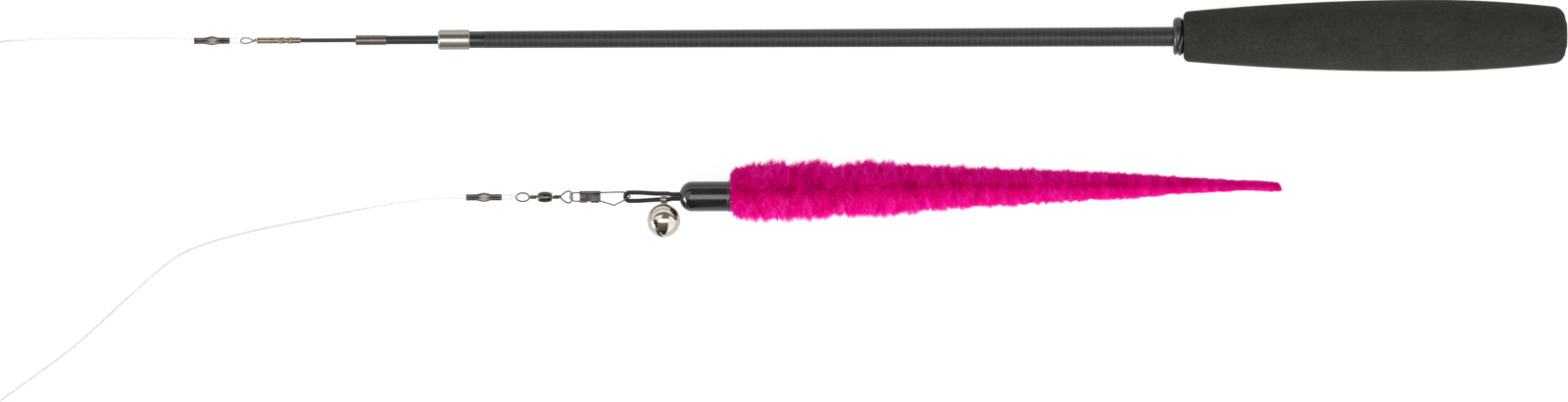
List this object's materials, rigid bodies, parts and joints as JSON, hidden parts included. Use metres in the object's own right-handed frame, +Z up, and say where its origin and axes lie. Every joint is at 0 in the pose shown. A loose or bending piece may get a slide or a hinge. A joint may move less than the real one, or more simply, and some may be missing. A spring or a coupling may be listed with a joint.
{
  "type": "cat teaser wand",
  "caption": "Telescopic wand with a foam grip and a nylon line that ends in a swivel, a safety snap and a plush tail lure with a bell.",
  "frame": {"origin": "middle of the box round the wand and the lure, on the surface that they lie on", "axes": "+X along the wand to its butt, +Y from the lure to the wand, +Z up"},
  "size_m": [0.4821, 0.1191, 0.0205],
  "materials": {
    "foam": "fine closed-cell foam, dull",
    "ring_rubber": "soft black rubber, slight sheen",
    "fibreglass": "dark wound fibreglass under clear lacquer",
    "nickel": "bright nickel plate, slightly warm",
    "warm_nickel": "plated wire and sleeve, warm grey",
    "black_nickel": "dark nickel plate",
    "nylon": "clear nylon monofilament",
    "black_cord": "round woven elastic",
    "black_plastic": "moulded plastic, glossy",
    "dull_plastic": "moulded plastic, dull",
    "plush": "dense hot-pink pile"
  },
  "bodies": {
    "handle": {"grip": "foam", "grip_ring": "ring_rubber", "tube_plug": "dull_plastic", "outer_tube": "fibreglass", "outer_ferrule": "nickel"},
    "middle_section": {"middle_tube": "fibreglass", "middle_ferrule": "nickel", "middle_collar": "dull_plastic"},
    "tip_section": {"tip_rod": "fibreglass", "tip_collar": "dull_plastic", "tip_sleeve": "warm_nickel", "line_upper": "nylon", "line_coil": "nylon", "line_tie": "dull_plastic", "line_lower": "nylon", "swivel_snap_eye": "black_nickel"},
    "tip_end": {"tip_eye": "warm_nickel", "tip_line_loop": "nylon", "tip_crimp": "black_nickel"},
    "line_end": {"swivel_line_eye": "black_nickel", "lure_line_loop": "nylon", "lure_crimp": "black_nickel"},
    "barrel": {"swivel_barrel": "black_nickel"},
    "snap": {"snap_wire": "black_nickel", "snap_clasp": "black_nickel"},
    "arm": {"snap_arm": "black_nickel"},
    "lure": {"elastic_loop": "black_cord", "elastic_knot": "black_cord", "lure_cap": "black_plastic", "tail_core": "plush", "tail_plush": "plush"},
    "bell": {"bell_top": "nickel", "bell_bottom": "nickel", "bell_strap": "nickel"},
    "pea": {"bell_pea": "nickel"}
  },
  "joints": [
    {"name": "middle_slide", "type": "slide", "parent": "handle", "child": "middle_section", "axis": [-1, 0, 0], "range_m": [-0.0146, 0.2823]},
    {"name": "tip_slide", "type": "slide", "parent": "middle_section", "child": "tip_section", "axis": [-1, 0, 0], "range_m": [-0.0155, 0.2906]},
    {"name": "tip_eye_turn", "type": "hinge", "parent": "tip_section", "child": "tip_end", "pos_m": [-0.18467, 0.02321, 0.01025], "axis": [1, 0, 0], "continuous": true},
    {"name": "line_end_turn", "type": "hinge", "parent": "tip_section", "child": "line_end", "pos_m": [-0.105, -0.02179, 0.0016], "axis": [1, 0, 0], "continuous": true},
    {"name": "barrel_turn", "type": "hinge", "parent": "tip_section", "child": "barrel", "pos_m": [-0.102, -0.02179, 0.0016], "axis": [1, 0, 0], "continuous": true},
    {"name": "snap_swing", "type": "hinge", "parent": "tip_section", "child": "snap", "pos_m": [-0.095, -0.02179, 0.0016], "axis": [0, -1, 0], "range_deg": [-75, 75]},
    {"name": "arm_lift", "type": "hinge", "parent": "snap", "child": "arm", "pos_m": [-0.07911, -0.02211, 0.0025], "axis": [0, 1, 0], "range_deg": [0, 30]},
    {"name": "lure_swing", "type": "hinge", "parent": "snap", "child": "lure", "pos_m": [-0.07967, -0.02179, 0.00125], "axis": [0, -1, 0], "range_deg": [-12, 40]},
    {"name": "bell_swing", "type": "hinge", "parent": "lure", "child": "bell", "pos_m": [-0.06853, -0.02264, 0.00411], "axis": [-0.9686, 0, -0.2484], "range_deg": [-110, 98]},
    {"name": "pea_slide", "type": "slide", "parent": "bell", "child": "pea", "axis": [0, 0, 1], "range_m": [0, 0.00618]}
  ]
}
